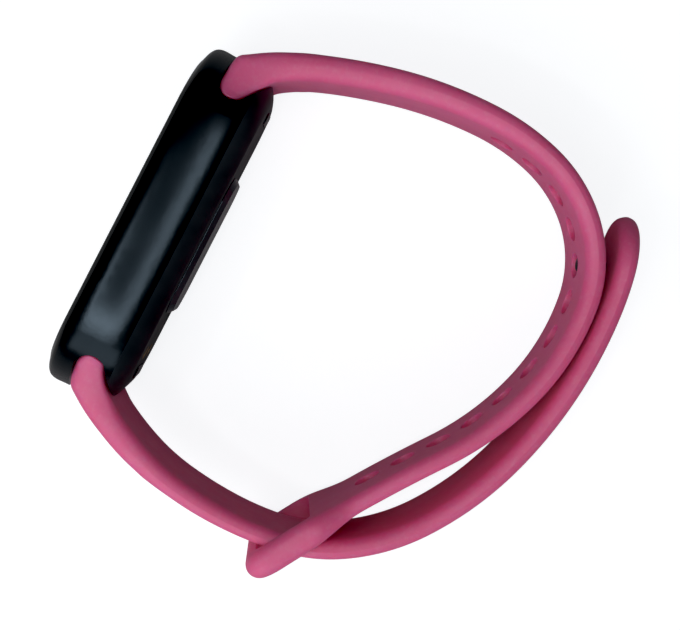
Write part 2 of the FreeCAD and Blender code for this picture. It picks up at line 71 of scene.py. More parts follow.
# ---- centrelines of the two straps: where each starts (x, y and heading in degrees at the lug), and
# ---- then (radius, turn in degrees) of each tangent arc
HOLE_STRAP_START = (-5.75 - SKIN_FACE, 22.6, 40.0)
HOLE_STRAP_ARCS = ((24.2, -16.6), (79.7, -10.1), (57.7, -12.9), (30.9, -16.7),
                   (19.3, -26.7), (17.2, -40.0), (32.9, -24.4), (41.6, -19.3), (220.0, 7.58))
PEG_STRAP_START = (-5.65 - SKIN_FACE, -22.15, -45.3)
PEG_STRAP_ARCS = ((17.3, 19.1), (42.1, 13.6), (50.9, 13.6), (48.2, 7.1),
                  (21.3, 21.5), (27.8, 24.7), (44.8, 17.9), (59.2, 13.6), (61.5, 9.3), (44.4, 16.2))

# ---- straps ----
LUG_WIDTH, STRAP_WIDTH, LOOP_WIDTH, TAIL_WIDTH = 17.5, 16.6, 20.6, 15.6
HOLE_COUNT, HOLE_START, HOLE_PITCH = 13, 37.4, 5.39
HOLE_ALONG, HOLE_ACROSS = 3.6, 4.2
HOLE_ROWS, HOLE_HALF_COLUMNS = 6, 6     # mesh rows in one pitch; columns on either side of a hole's middle
SLOT_LENGTH, SLOT_WIDTH, SLOT_CORNER = 8.0, 16.2, 1.6
LOOP_BAR, LOOP_CORNER, LOOP_THICKNESS, LOOP_RAIL_THICKNESS = 2.5, 3.0, 3.6, 3.85
SLOT_MARGIN_BEFORE, SLOT_MARGIN_AFTER = 1.1, 0.8    # how far the slot's block reaches past it along the strap
SLOT_ROW_STEP = 0.7
TIP_ROWS = (0.9, 0.55, 0.28, 0.1, 0.02, 0.0)        # distances of the last rows from a square tip
# the same for a round tip, as shares of its radius
FAN_ROWS = (0.86, 0.72, 0.58, 0.45, 0.33, 0.22, 0.14, 0.07, 0.025, 0.0)
TIP_ROUND_START, TIP_ROUND_FULL = 4.0, 1.2          # distances from the tip between which its edges round off
TAIL_THICKNESS = 2.8
PEG_FROM_TIP, HINGE_FROM_PEG = 7.6, 14.5
BEND_BEFORE, BEND_AFTER = 1.0, 9.0      # the stretch round the hinge between base and tail; its ends are found but not used
OUTER_EDGE, INNER_EDGE = 1.25, 1.55     # rounding of the strap's long edges, where it is thick enough
OUTER_SHARE, INNER_SHARE = 0.38, 0.52   # the most that the roundings may take of the thickness
RIM = 0.16                              # rounding of the rims of the holes and the slot
RIM_DEGREES = (35, 65, 90)              # angles round the rim at which it gets a ring of vertices
OPENING_RINGS = (0.45, 0.8, 1.0)        # places of the rings between an opening's block and its rim
CROWN = 0.22                            # how far the outer face drops from its middle to its edges
SIDE_BULGE = 0.10                       # how far the side walls swell
ROW_STEP = 0.9                          # spacing of the mesh rows along the plain strap

# ---- lug outlines in the XY plane, from the round end outwards; x from the rear plane ----
UPPER_LUG_OUTER = ((-7.10, 20.5), (-7.05, 22.3), (-6.76, 24.1), (-5.64, 24.93),
                   (-4.23, 25.9), (-2.6, 26.88), (-0.9, 27.74), (0.5, 28.42))
UPPER_LUG_INNER = ((-3.66, 19.2), (-2.5, 20.75), (-1.45, 22.4), (-0.72, 23.2),
                   (-0.05, 23.68), (0.72, 24.15), (1.6, 24.66), (2.4, 25.04))
LOWER_LUG_OUTER = ((-7.10, -20.5), (-7.02, -22.0), (-6.62, -23.5), (-5.5, -24.45), (-3.9, -25.55),
                   (-2.4, -26.42), (-0.9, -27.18), (1.2, -28.15), (3.3, -28.98), (5.3, -29.62))
LOWER_LUG_INNER = ((-3.66, -19.2), (-3.0, -20.6), (-2.2, -21.65), (-1.45, -22.3), (-0.75, -22.8),
                   (0.0, -23.35), (0.8, -23.9), (2.48, -24.8), (4.3, -25.65), (6.15, -26.42))
UPPER_LUG_JOINS, LOWER_LUG_JOINS = 9.6, 15.0    # arc lengths where the lug hands over to the plain strap
LUG_FLARE, LUG_FLARE_LENGTH = 2.15, 2.7         # extra half width at the lug end, dying away along y
LUG_END_Y = 18.58                               # the round end of the upper lug; the lower one mirrors it
LUG_END_ROWS, LUG_END_DEPTH, LUG_END_ROUNDING = 9, 1.9, 0.45    # the round end, which is also rounded in z
LUG_OUTER_EDGE, LUG_INNER_EDGE = 1.5, 0.6       # rounding of the lug's edges before they become the strap's

# ---- stud outline: (radius, height), heights from the tail's outer face and then from its inner one ----
STUD_DISC = ((0.0, 0.02), (1.6, 0.02), (2.7, -0.02), (3.05, -0.12), (3.15, -0.35), (3.15, -0.75),
             (1.15, -0.8), (1.02, -1.2))
STUD_STEM = ((1.02, -2.2), (1.3, -2.6), (1.35, -3.2), (1.2, -3.6), (0.75, -3.85), (0.0, -3.92))
STUD_TURNS = 40

# ---- colours ----
PINK, PINK_LIGHT, PINK_BLOOM = (0.76, 0.076, 0.255), (0.80, 0.090, 0.285), (0.78, 0.34, 0.48)
CASE_BLACK, REAR_BLACK = (0.0004, 0.0006, 0.0010), (0.008, 0.0085, 0.0095)
WINDOW_BLACK, GLASS_BLACK = (0.016, 0.017, 0.020), (0.002, 0.0025, 0.003)
COOL_SHINE = (0.62, 0.82, 1.0, 1.0)             # tint of the reflections on the black plastics
DUST, GLASS_DUST = (0.10, 0.12, 0.12), (0.20, 0.22, 0.23)
EASED_START, EASED_RADIUS = 0.009, 0.05         # in metres, for the case wall that seems to curve away

# ---- stage, light and camera; places and sizes in millimetres, power in watts ----
FLOOR_REACH, FLOOR_GAP = 1200, 0.1
FLOOR_GLOW = 0.86                               # the floor's own brightness, for the camera only
SKY = (0.94, 0.97, 1.0, 1.0)
STRIP_HEIGHT = 200
STRIPS = (("strip_rear_side", (-3, -5), (18, 138), 0.052),
          ("strip_front_side", (-68, -42), (12, 68), 0.025),
          ("strip_end", (-36, -77), (62, 16), 0.044))
CAMERA_PLACE = (9.16, 6.5, 196.0)
CAMERA_RIGHT = (0.889, 0.457)                   # direction of the picture's right-hand side
BLACK_LEVEL = 0.007         # deep shadows close up to black, as in a hard product picture


# ---------------------------------------------------------------- strap geometry
class Centreline:
    """Tangent arcs in the XY plane, measured by arc length."""

    def __init__(self, start, arcs):
        x, y, heading = start
        self.legs = []
        self.length = 0.0
        for radius, turn in arcs:
            side = 1 if turn > 0 else -1
            normal = math.radians(heading + 90 * side)
            centre = (x + radius * math.cos(normal), y + radius * math.sin(normal))
            self.legs.append((self.length, centre, heading, radius, side))
            heading += turn
            normal = math.radians(heading + 90 * side)
            x = centre[0] - radius * math.cos(normal)
            y = centre[1] - radius * math.sin(normal)
            self.length += radius * math.radians(abs(turn))

    def at(self, s):
        """Point and heading in degrees at arc length s."""
        leg = self.legs[0]
        for candidate in self.legs:
            if candidate[0] <= s:
                leg = candidate
        start, centre, heading, radius, side = leg
        now = heading + side * math.degrees((s - start) / radius)
        normal = math.radians(now + 90 * side)
        return Vector((centre[0] - radius * math.cos(normal), centre[1] - radius * math.sin(normal))), now


def between(s, table):
    """Smooth value along the strap, from a short list of (place, value)."""
    if s <= table[0][0]:
        return table[0][1]
    for (s0, v0), (s1, v1) in zip(table, table[1:]):
        if s <= s1:
            u = (s - s0) / (s1 - s0)
            return v0 + (v1 - v0) * u * u * (3 - 2 * u)
    return table[-1][1]


def spaced(low, high, step):
    """Even places from low to high, both included."""
    count = max(1, round((high - low) / step))
    return [low + (high - low) * i / count for i in range(count + 1)]


def rounding(distance, radius):
    """How far a rounded edge has dropped, at a distance in from the edge."""
    if distance >= radius:
        return 0.0
    inward = radius - max(0.0, distance)
    return radius - math.sqrt(max(0.0, radius * radius - inward * inward))


def curve_through(points, u):
    """Catmull-Rom curve through a few points; u runs from 0 to 1."""
    spans = len(points) - 1
    place = min(max(u, 0.0), 1.0) * spans
    i = min(int(place), spans - 1)
    t = place - i
    p1, p2 = Vector(points[i]), Vector(points[i + 1])
    p0 = Vector(points[i - 1]) if i > 0 else 2 * p1 - p2
    p3 = Vector(points[i + 2]) if i + 2 <= spans else 2 * p2 - p1
    return 0.5 * (2 * p1 + (p2 - p0) * t + (2 * p0 - 5 * p1 + 4 * p2 - p3) * t * t
                  + (3 * p1 - p0 - 3 * p2 + p3) * t ** 3)


def raised(flat, z):
    """A point of the XY plane at height z."""
    return Vector((flat.x, flat.y, z))


class Strap:
    """One strap: an outer and an inner sheet, with walls between them.

    side says on which side of the centreline the outer face lies. thickness and width are tables for
    between(). tip_corner is the radius of the tip's corners, seen face on, and tip_round is how nearly
    the tip's edges grow into a full round.
    """

    edge_steps = (0.0, 0.07, 0.2, 0.4, 0.66, 1.0)       # shares of the edge rounding, from the rim inwards
    half_columns = 12
    wall_steps = 4

    def __init__(self, line, side, thickness, width, tip_corner, tip_round):
        self.line, self.side = line, side
        self.thickness, self.width = thickness, width
        self.tip = line.length
        self.tip_corner, self.tip_round = tip_corner, tip_round
        self.mesh = bmesh.new()

    def frame_at(self, s):
        """Centre point and outward direction of the cross-section at s."""
        point, heading = self.line.at(s)
        a = math.radians(heading + 90 * self.side)
        return point, Vector((math.cos(a), math.sin(a)))

    def edge_radius(self, s, outside):
        """Edge rounding, which grows into a full round at the tip."""
        thickness = between(s, self.thickness)
        largest, share = (OUTER_EDGE, OUTER_SHARE) if outside else (INNER_EDGE, INNER_SHARE)
        plain = min(largest, share * thickness)
        full = thickness / 2 * self.tip_round
        start, end = self.tip - TIP_ROUND_START, self.tip - TIP_ROUND_FULL
        return between(s, ((start, plain), (end, max(plain, full))))

    def edge_distance(self, s, z, half_width):
        """Distance in from the strap's outline, seen face on."""
        corner = self.tip_corner
        along, across = self.tip - s, half_width - abs(z)
        if along < corner and across < corner:
            return corner - math.hypot(corner - along, corner - across)
        return min(along, across)

    def surface(self, s, z, outside, drop=0.0):
        """A point on the outer or inner face."""
        half_width = between(s, self.width) / 2
        point, out = self.frame_at(s)
        distance = self.edge_distance(s, z, half_width)
        height = between(s, self.thickness) / 2 - rounding(distance, self.edge_radius(s, outside)) - drop
        if outside:
            height -= CROWN * (z / half_width) ** 2
            return raised(point + out * height, z)
        return raised(point - out * height, z)

    def columns(self, half_width):
        """Z of every column across the strap, edges packed closely."""
        band = max(OUTER_EDGE, INNER_EDGE)
        core = half_width - band
        inner = [core * i / self.half_columns for i in range(-self.half_columns, self.half_columns + 1)]
        rims = [half_width - band * share for share in self.edge_steps[:-1]]
        return [-z for z in rims] + inner + list(reversed(rims))

    # -- rows: each is (outer points, inner points), one per column --
    def lug_rows(self, outer, inner, sign, joins_at):
        """The round lug end and the wedge where the strap leaves the case."""
        rows = []
        shift = Vector((-SKIN_FACE, 0))
        bottom = LUG_END_Y * sign
        first = [Vector(outer[0]) + shift, Vector(inner[0]) + shift]
        middle = (first[0].x + first[1].x) / 2
        for i in range(LUG_END_ROWS):
            a = math.radians(90 * (i + 0.6) / LUG_END_ROWS)
            fall, spread = math.cos(a), math.sin(a)
            o, n = [Vector((middle + (p.x - middle) * spread, p.y + (bottom - p.y) * fall)) for p in first]
            rows.append((o, n, rounding((1 - fall) * LUG_END_DEPTH, LUG_END_ROUNDING)))
        point, out = self.frame_at(joins_at)
        half = out * between(joins_at, self.thickness) / 2
        self.joined_half_width = between(joins_at, self.width) / 2
        outer = tuple(outer) + (tuple(point + half - shift),)
        inner = tuple(inner) + (tuple(point - half - shift),)
        count = 2 * len(outer)
        for i in range(count):
            u = i / count
            rows.append((curve_through(outer, u) + shift, curve_through(inner, u) + shift, 0.0))
        return [self.flat_row(o, n, pulled, i / len(rows)) for i, (o, n, pulled) in enumerate(rows)]

    def flat_row(self, o, n, pulled, progress):
        """A row of the lug between a given outer and inner point; progress runs from 0 at its end to 1."""
        y = abs((o.y + n.y) / 2)
        flare = LUG_FLARE * math.exp((LUG_END_Y - y) / LUG_FLARE_LENGTH) * (1 - progress ** 4)
        half_width = self.joined_half_width + flare - pulled
        out = (o - n).normalized()
        gap = (o - n).length
        outer_radius = min(between(progress, ((0.3, LUG_OUTER_EDGE), (0.8, OUTER_EDGE))), OUTER_SHARE * gap)
        inner_radius = min(between(progress, ((0.3, LUG_INNER_EDGE), (0.9, INNER_EDGE))), INNER_SHARE * gap)
        outer_points, inner_points = [], []
        for z in self.columns(half_width):
            distance = half_width - abs(z)
            crown = CROWN * progress * (z / half_width) ** 2
            outer_points.append(raised(o - out * (rounding(distance, outer_radius) + crown), z))
            inner_points.append(raised(n + out * rounding(distance, inner_radius), z))
        return outer_points, inner_points

    def plain_row(self, s):
        """A row of the strap itself, drawn in where the tip's corners are rounded."""
        half_width = between(s, self.width) / 2
        corner = self.tip_corner
        if self.tip - s < corner:
            into = corner - (self.tip - s)
            half_width -= corner - math.sqrt(max(0.0, corner * corner - into * into))
        zs = self.columns(half_width)
        return [self.surface(s, z, True) for z in zs], [self.surface(s, z, False) for z in zs]

    def round_tip_rows(self):
        """Rows that fan into a half disc, for a tip as round as the strap is wide."""
        radius = self.tip_corner
        start = self.tip - radius
        half_width = between(self.tip, self.width) / 2
        shares = [z / half_width for z in self.columns(half_width)]
        rows = []
        for distance in FAN_ROWS:
            a = 1 - distance
            flat = [(start + radius * a * math.sqrt(1 - t * t / 2), half_width * t * math.sqrt(1 - a * a / 2))
                    for t in shares]
            rows.append(([self.surface(s, z, True) for s, z in flat],
                         [self.surface(s, z, False) for s, z in flat]))
        return rows

    # -- faces --
    def add_rows(self, rows):
        """Vertices of both faces and of the two side walls."""
        self.outer = [[self.mesh.verts.new(p) for p in row[0]] for row in rows]
        self.inner = [[self.mesh.verts.new(p) for p in row[1]] for row in rows]
        self.walls = []
        for outer, inner in zip(self.outer, self.inner):
            self.walls.append([self.wall(outer[end], inner[end], sign) for end, sign in ((0, -1), (-1, 1))])

    def wall(self, top, bottom, sign):
        """Vertices down one side wall, slightly swollen, from the outer face to the inner one."""
        found = [top]
        for k in range(1, self.wall_steps):
            u = k / self.wall_steps
            swell = SIDE_BULGE * 4 * u * (1 - u) * min(1.0, (top.co - bottom.co).length / 2)
            found.append(self.mesh.verts.new(top.co.lerp(bottom.co, u) + Vector((0, 0, sign * swell))))
        return found + [bottom]

    def quads(self, one, other):
        """Faces between two strings of vertices."""
        for a, b, c, d in zip(one, one[1:], other[1:], other):
            self.mesh.faces.new((a, b, c, d))

    def skin(self, blocks):
        """Faces between all rows, leaving out the blocks that a hole or slot fills."""
        for r in range(len(self.outer) - 1):
            for sheet in (self.outer, self.inner):
                for c in range(len(sheet[r]) - 1):
                    if any(r0 <= r < r1 and c0 <= c < c1 for r0, r1, c0, c1 in blocks):
                        continue
                    self.mesh.faces.new((sheet[r][c], sheet[r][c + 1], sheet[r + 1][c + 1], sheet[r + 1][c]))
            for end in (0, 1):
                self.quads(self.walls[r][end], self.walls[r + 1][end])

    def cap(self, r):
        """Closes the strap at its first or last row."""
        previous = self.walls[r][0]
        for c in range(1, len(self.outer[r])):
            if c == len(self.outer[r]) - 1:
                current = self.walls[r][1]
            else:
                top, bottom = self.outer[r][c], self.inner[r][c]
                current = [top] + [self.mesh.verts.new(top.co.lerp(bottom.co, k / self.wall_steps))
                                   for k in range(1, self.wall_steps)] + [bottom]
            self.quads(previous, current)
            previous = current

    def on_face(self, place, outside, drop):
        """A new vertex at (s, z) on the outer or inner face, sunk below it by drop."""
        return self.mesh.verts.new(self.surface(place.x, place.y, outside, drop))

    def opening(self, block, outline, places):
        """Cuts a rounded opening through a block of both sheets. outline(s, z) gives the opening's
        edge for a point on the block's border; places(r, c) gives a border vertex's s and z."""
        r0, r1, c0, c1 = block
        border = [(r0, c) for c in range(c0, c1)] + [(r, c1) for r in range(r0, r1)]
        border += [(r1, c) for c in range(c1, c0, -1)] + [(r, c0) for r in range(r1, r0, -1)]
        stations = []
        for r, c in border:
            start = Vector(places(r, c))
            edge = Vector(outline(*start))
            away = start - edge
            stations.append((start, edge, away.normalized() * min(RIM, away.length)))
        lips = []
        for sheet, outside in ((self.outer, True), (self.inner, False)):
            rings = [[sheet[r][c] for r, c in border]]
            for share in OPENING_RINGS:
                rings.append([self.on_face(start.lerp(edge + rim, share), outside, 0.0)
                              for start, edge, rim in stations])
            for degrees in RIM_DEGREES:
                a = math.radians(degrees)
                drop = RIM * (1 - math.cos(a))
                rings.append([self.on_face(edge + rim * (1 - math.sin(a)), outside, drop)
                              for start, edge, rim in stations])
            for one, other in zip(rings, rings[1:]):
                self.quads(one + one[:1], other + other[:1])
            lips.append(rings[-1])
        middle = [self.mesh.verts.new((a.co + b.co) / 2) for a, b in zip(*lips)]
        for one, other in ((lips[0], middle), (middle, lips[1])):
            self.quads(one + one[:1], other + other[:1])


def finished(mesh, name):
    """Turns a bmesh in millimetres into an object in metres, subdivided once and smooth."""
    bmesh.ops.recalc_face_normals(mesh, faces=mesh.faces)
    bmesh.ops.scale(mesh, vec=(MM, MM, MM), verts=mesh.verts)
    data = bpy.data.meshes.new(name)
    mesh.to_mesh(data)
    mesh.free()
    draft = bpy.data.objects.new(name + "_draft", data)
    bpy.context.scene.collection.objects.link(draft)
    draft.modifiers.new("subdivide", "SUBSURF").levels = 1
    shape = bpy.data.meshes.new_from_object(draft.evaluated_get(bpy.context.evaluated_depsgraph_get()))
    bpy.data.objects.remove(draft)
    shape.name = name
    shape.polygons.foreach_set("use_smooth", [True] * len(shape.polygons))
    piece = bpy.data.objects.new(name, shape)
    bpy.context.scene.collection.objects.link(piece)
    return piece


# ---------------------------------------------------------------- the two straps
def hole_outline(s0):
    """Oval peg hole centred at s0."""
    def outline(s, z):
        a = math.atan2(z / HOLE_ACROSS, (s - s0) / HOLE_ALONG)
        return s0 + HOLE_ALONG / 2 * math.cos(a), HOLE_ACROSS / 2 * math.sin(a)
    return outline


def slot_outline(low, high):
    """Slot with rounded corners between two places."""
    middle, reach = (low + high) / 2, (high - low) / 2 - SLOT_CORNER
    half = SLOT_WIDTH / 2 - SLOT_CORNER

    def outline(s, z):
        inner = Vector((min(max(s - middle, -reach), reach), min(max(z, -half), half)))
        corner = (Vector((s - middle, z)) - inner).normalized() * SLOT_CORNER
        return middle + inner.x + corner.x, inner.y + corner.y
    return outline


def make_hole_strap():
    """The strap with the thirteen holes and the slotted loop at its end."""
    line = Centreline(HOLE_STRAP_START, HOLE_STRAP_ARCS)
    tip = line.length
    loop_start = tip - LOOP_BAR - SLOT_LENGTH
    thickness = ((4, 4.0), (12, 3.7), (58, 2.85), (94, 2.5), (loop_start - 6, 2.5),
                 (loop_start + 2.5, LOOP_RAIL_THICKNESS), (tip - 4, LOOP_RAIL_THICKNESS),
                 (tip, LOOP_THICKNESS))
    width = ((0, LUG_WIDTH), (16, STRAP_WIDTH), (loop_start - 6, STRAP_WIDTH),
             (loop_start + 0.5, LOOP_WIDTH), (tip, LOOP_WIDTH))
    strap = Strap(line, 1, thickness, width, LOOP_CORNER, 0.95)
    first_block = HOLE_START - HOLE_PITCH / 2
    last_block = first_block + HOLE_COUNT * HOLE_PITCH
    slot_low, slot_high = loop_start, loop_start + SLOT_LENGTH
    slot_block_start = slot_low - SLOT_MARGIN_BEFORE
    places = spaced(UPPER_LUG_JOINS, first_block, ROW_STEP)[:-1]
    hole_row = len(places)
    places += [first_block + HOLE_PITCH * i / HOLE_ROWS for i in range(HOLE_COUNT * HOLE_ROWS)]
    places += spaced(last_block, slot_block_start, ROW_STEP)[:-1]
    slot_row = len(places)
    places += spaced(slot_block_start, slot_high + SLOT_MARGIN_AFTER, SLOT_ROW_STEP)
    slot_end_row = len(places) - 1
    places += [slot_high + LOOP_BAR / 2]
    places += [tip - distance for distance in TIP_ROWS]
    lug = strap.lug_rows(UPPER_LUG_OUTER, UPPER_LUG_INNER, 1, UPPER_LUG_JOINS)
    strap.add_rows(lug + [strap.plain_row(s) for s in places])
    lead = len(lug)
    first_core = len(Strap.edge_steps) - 1
    middle = first_core + Strap.half_columns
    starts = [lead + hole_row + i * HOLE_ROWS for i in range(HOLE_COUNT)]
    blocks = [(start, start + HOLE_ROWS, middle - HOLE_HALF_COLUMNS, middle + HOLE_HALF_COLUMNS)
              for start in starts]
    slot_block = (lead + slot_row, lead + slot_end_row, first_core, first_core + 2 * Strap.half_columns)
    strap.skin(blocks + [slot_block])

    def place(r, c):
        """Arc length and z of a vertex of the plain strap."""
        s = places[r - lead]
        return s, strap.columns(between(s, width) / 2)[c]

    for i, block in enumerate(blocks):
        strap.opening(block, hole_outline(HOLE_START + i * HOLE_PITCH), place)
    strap.opening(slot_block, slot_outline(slot_low, slot_high), place)
    strap.cap(0)
    strap.cap(-1)
    piece = finished(strap.mesh, "hole_strap_skin")
    piece.data.materials.append(silicone())
    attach(piece, "tracker")
    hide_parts("hole_strap")


def make_peg_strap():
    """The plain strap, base and tail in one piece that does not bend at the hinge. Returns it, for the stud's
    place.
    """
    line = Centreline(PEG_STRAP_START, PEG_STRAP_ARCS)
    tip = line.length
    hinge_at = tip - PEG_FROM_TIP - HINGE_FROM_PEG
    thickness = ((4, 3.9), (11, 3.4), (20, 2.85), (34, 2.55), (44, 2.75), (tip, TAIL_THICKNESS))
    width = ((0, LUG_WIDTH), (14, STRAP_WIDTH), (34, TAIL_WIDTH), (tip, TAIL_WIDTH))
    strap = Strap(line, -1, thickness, width, TAIL_WIDTH / 2, 0.0)
    places = spaced(LOWER_LUG_JOINS, tip - TAIL_WIDTH / 2, ROW_STEP)
    lug = strap.lug_rows(LOWER_LUG_OUTER, LOWER_LUG_INNER, -1, LOWER_LUG_JOINS)
    strap.add_rows(lug + [strap.plain_row(s) for s in places] + strap.round_tip_rows())
    strap.skin([])
    strap.cap(0)
    strap.cap(-1)
    piece = finished(strap.mesh, "peg_strap_skin")
    piece.data.materials.append(silicone())
    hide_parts("peg_strap_base", "peg_strap_tail")
    low, _ = strap.frame_at(hinge_at - BEND_BEFORE)
    high, _ = strap.frame_at(hinge_at + BEND_AFTER)
    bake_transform(piece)
    return strap


def make_peg(strap):
    """Metal stud: a shallow disc on the tail's outer face and a stem with a rounded head."""
    at = strap.tip - PEG_FROM_TIP
    point, out = strap.frame_at(at)
    along = Vector((-out.y, out.x))
    half = between(at, strap.thickness) / 2
    outline = [(radius, half + height) for radius, height in STUD_DISC]
    outline += [(radius, -half + height) for radius, height in STUD_STEM]
    angles = [2 * math.pi * i / STUD_TURNS for i in range(STUD_TURNS)]
    mesh = bmesh.new()
    rings = []
    for radius, height in outline:
        centre = point + out * height
        if radius == 0.0:
            rings.append([mesh.verts.new(raised(centre, 0))] * STUD_TURNS)
            continue
        rings.append([mesh.verts.new(raised(centre + along * radius * math.cos(a), radius * math.sin(a)))
                      for a in angles])
    for one, other in zip(rings, rings[1:]):
        for i in range(STUD_TURNS):
            j = (i + 1) % STUD_TURNS
            # at a pole two of the four corners are the same vertex
            mesh.faces.new(list(dict.fromkeys((one[i], one[j], other[j], other[i]))))
    piece = finished(mesh, "closure_stud")
    piece.data.materials.append(metal("stud_metal", (0.055, 0.055, 0.060), 0.36))
    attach(piece, "strap_tail")
    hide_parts("closure_peg")


# ---------------------------------------------------------------- materials
class Shader:
    """Small helper that builds a node material round one Principled shader."""

    def __init__(self, name):
        self.material = bpy.data.materials.new(name)
        self.material.use_nodes = True
        self.tree = self.material.node_tree
        self.tree.nodes.clear()
        self.main = self.add("ShaderNodeBsdfPrincipled")
        output = self.add("ShaderNodeOutputMaterial")
        self.link(self.main.outputs[0], output.inputs[0])
        self.coordinates = self.add("ShaderNodeTexCoord").outputs["Object"]

    def add(self, kind):
        """A new node of the material."""
        return self.tree.nodes.new(kind)

    def link(self, source, target):
        self.tree.links.new(source, target)

    def constants(self, **values):
        """Sets plain values of the main shader, with _ for a space in a socket's name."""
        for key, value in values.items():
            self.main.inputs[key.replace("_", " ")].default_value = value

    def noise(self, scale, detail=3.0, roughness=0.5):
        """Cloudy noise from 0 to 1, scale being its repeats in a metre."""
        node = self.add("ShaderNodeTexNoise")
        node.inputs["Scale"].default_value = scale
        node.inputs["Detail"].default_value = detail
        node.inputs["Roughness"].default_value = roughness
        self.link(self.coordinates, node.inputs["Vector"])
        return node.outputs["Fac"]

    def cells(self, scale, feature="F1"):
        """Distance in a pattern of cells, from their centres or to their edges."""
        node = self.add("ShaderNodeTexVoronoi")
        node.feature = feature
        node.inputs["Scale"].default_value = scale
        self.link(self.coordinates, node.inputs["Vector"])
        return node.outputs["Distance"]

    def specks(self, scale, size, rarity):
        """Sparse dots of dust: 1 inside a dot and 0 elsewhere."""
        dots = self.spread(self.cells(scale), 0.0, size, 1.0, 0.0)
        where = self.spread(self.noise(scale / 6, 2.0), rarity, rarity + 0.05)
        both = self.add("ShaderNodeMath")
        both.operation = "MULTIPLY"
        self.link(dots, both.inputs[0])
        self.link(where, both.inputs[1])
        return both.outputs[0]

    def spread(self, source, low, high, out_low=0.0, out_high=1.0):
        """Maps a value from one range to another, clamped."""
        node = self.add("ShaderNodeMapRange")
        for key, value in (("From Min", low), ("From Max", high), ("To Min", out_low), ("To Max", out_high)):
            node.inputs[key].default_value = value
        self.link(source, node.inputs["Value"])
        return node.outputs["Result"]

    def mix(self, factor, one, other):
        """Colour between two colours or sockets."""
        node = self.add("ShaderNodeMix")
        node.data_type = "RGBA"
        self.link(factor, node.inputs["Factor"])
        for value, target in ((one, node.inputs["A"]), (other, node.inputs["B"])):
            if isinstance(value, tuple):
                target.default_value = (*value, 1.0)
            else:
                self.link(value, target)
        return node.outputs["Result"]

    def base(self, source):
        self.link(source, self.main.inputs["Base Color"])

    def rough(self, source):
        self.link(source, self.main.inputs["Roughness"])

    def eased_ends(self, start, radius):
        """Height of a surface that curves away beyond start to either side along Y, in metres."""
        split = self.add("ShaderNodeSeparateXYZ")
        self.link(self.coordinates, split.inputs[0])
        value = split.outputs["Y"]
        for operation, other in (("ABSOLUTE", None), ("SUBTRACT", start), ("MAXIMUM", 0.0), ("POWER", 2.0),
                                 ("MULTIPLY", -0.5 / radius)):
            node = self.add("ShaderNodeMath")
            node.operation = operation
            self.link(value, node.inputs[0])
            if other is not None:
                node.inputs[1].default_value = other
            value = node.outputs[0]
        return value

    def bump(self, layers):
        """Bumps from (height socket, depth in metres) layers, one on the other."""
        normal = None
        for height, depth in layers:
            node = self.add("ShaderNodeBump")
            node.inputs["Strength"].default_value = 1.0
            node.inputs["Distance"].default_value = depth
            self.link(height, node.inputs["Height"])
            if normal is not None:
                self.link(normal, node.inputs["Normal"])
            normal = node.outputs["Normal"]
        self.link(normal, self.main.inputs["Normal"])


def silicone():
    """Soft pink silicone: slightly mottled, matte, with a fine moulded grain and a faint bloom."""
    if "strap_silicone" in bpy.data.materials:
        return bpy.data.materials["strap_silicone"]
    s = Shader("strap_silicone")
    s.constants(Subsurface_Weight=0.6, Subsurface_Scale=0.0016, Sheen_Weight=0.05, Sheen_Roughness=0.5,
                Specular_IOR_Level=1.0, IOR=1.7)
    s.main.inputs["Subsurface Radius"].default_value = (1.6, 0.3, 0.6)
    s.main.inputs["Sheen Tint"].default_value = (1.0, 0.86, 0.92, 1.0)
    cloud = s.spread(s.noise(90.0, 2.0), 0.35, 0.65)
    fine = s.spread(s.noise(1400.0, 4.0, 0.6), 0.3, 0.7)
    body = s.mix(cloud, PINK, PINK_LIGHT)
    s.base(s.mix(s.spread(fine, 0.45, 1.0, 0.0, 0.14), body, PINK_BLOOM))
    s.rough(s.spread(s.noise(420.0, 3.0), 0.3, 0.7, 0.60, 0.72))
    s.bump([(s.noise(60.0, 1.0), 0.00012), (s.noise(2600.0, 3.0), 0.000010)])
    return s.material


def moulded(name, colour, rough_low, rough_high, grain=2200.0, depth=0.000006, eased=False):
    """Black moulded plastic with a fine spark texture and faint handling marks. Eased plastic
    also catches the light as if its long walls curved gently away towards their ends."""
    s = Shader(name)
    s.constants(Specular_IOR_Level=0.42, IOR=1.5)
    s.main.inputs["Specular Tint"].default_value = COOL_SHINE
    lifted = tuple(c * 1.7 + 0.001 for c in colour)
    mottled = s.mix(s.spread(s.noise(240.0, 4.0), 0.35, 0.75), colour, lifted)
    s.base(s.mix(s.specks(820.0, 0.07, 0.62), mottled, DUST))
    s.rough(s.spread(s.noise(130.0, 5.0, 0.65), 0.3, 0.7, rough_low, rough_high))
    layers = [(s.noise(grain, 2.0), depth)]
    if eased:
        layers.insert(0, (s.eased_ends(EASED_START, EASED_RADIUS), 1.0))
    s.bump(layers)
    return s.material


def lens_black():
    """Gloss black cover glass with a few specks of dust and soft smears."""
    s = Shader("cover_glass_black")
    s.constants(Specular_IOR_Level=0.5, IOR=1.5, Coat_Weight=0.3, Coat_Roughness=0.08)
    s.base(s.mix(s.specks(900.0, 0.10, 0.60), GLASS_BLACK, GLASS_DUST))
    s.rough(s.spread(s.noise(45.0, 4.0, 0.6), 0.3, 0.75, 0.10, 0.24))
    return s.material


def metal(name, colour, rough):
    """Bare metal, slightly uneven in colour and roughness."""
    s = Shader(name)
    s.constants(Metallic=1.0)
    s.base(s.mix(s.noise(500.0, 3.0), colour, tuple(min(1.0, c * 1.25) for c in colour)))
    s.rough(s.spread(s.noise(900.0, 4.0), 0.3, 0.7, rough * 0.8, rough * 1.25))
    s.bump([(s.noise(3000.0, 2.0), 0.000003)])
    return s.material


